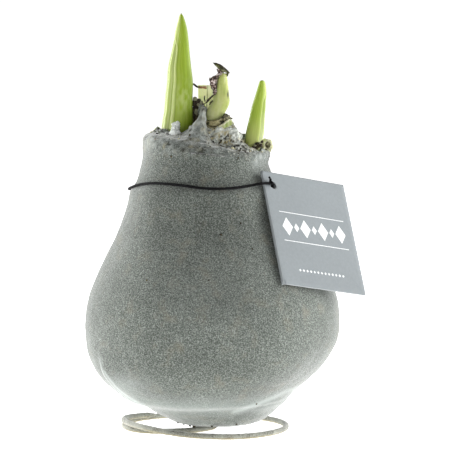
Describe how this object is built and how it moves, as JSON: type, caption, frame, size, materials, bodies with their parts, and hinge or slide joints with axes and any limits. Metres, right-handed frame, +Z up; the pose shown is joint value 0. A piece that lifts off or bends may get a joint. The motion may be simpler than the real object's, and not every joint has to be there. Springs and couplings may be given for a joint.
{
  "type": "waxed amaryllis bulb",
  "caption": "Amaryllis bulb dipped in flocked grey wax, with leaf shoots at its torn neck, a cord with a blank folded tag, and a wound wire ring to stand on.",
  "frame": {"origin": "on the floor, under the middle of the whole object's bounding box", "axes": "+Z up, the object's longest way; +X to the viewer's right, where the tag hangs; +Y away from the viewer"},
  "size_m": [0.1053, 0.096, 0.1574],
  "materials": {
    "flocked_wax": "matte",
    "flocked_wire": "matte",
    "bulb_scale": "matte",
    "leaf_green": "satin",
    "leaf_pale": "satin",
    "dry_scale": "matte",
    "black_elastic": "matte",
    "grey_card": "satin"
  },
  "bodies": {
    "root": {"wire_stand": "flocked_wire", "wax_coat": "flocked_wax", "bulb": "bulb_scale", "left_shoot_outer_leaf": "leaf_green", "left_shoot_inner_leaf": "leaf_pale", "right_shoot_outer_leaf": "leaf_green", "right_shoot_inner_leaf": "leaf_pale", "middle_stub": "leaf_pale", "back_leaf_stub": "leaf_pale", "dark_scale": "dry_scale", "green_scale_stub": "leaf_pale", "curled_scale": "dry_scale", "elastic_cord": "black_elastic", "hang_tag": "grey_card"}
  },
  "joints": []
}
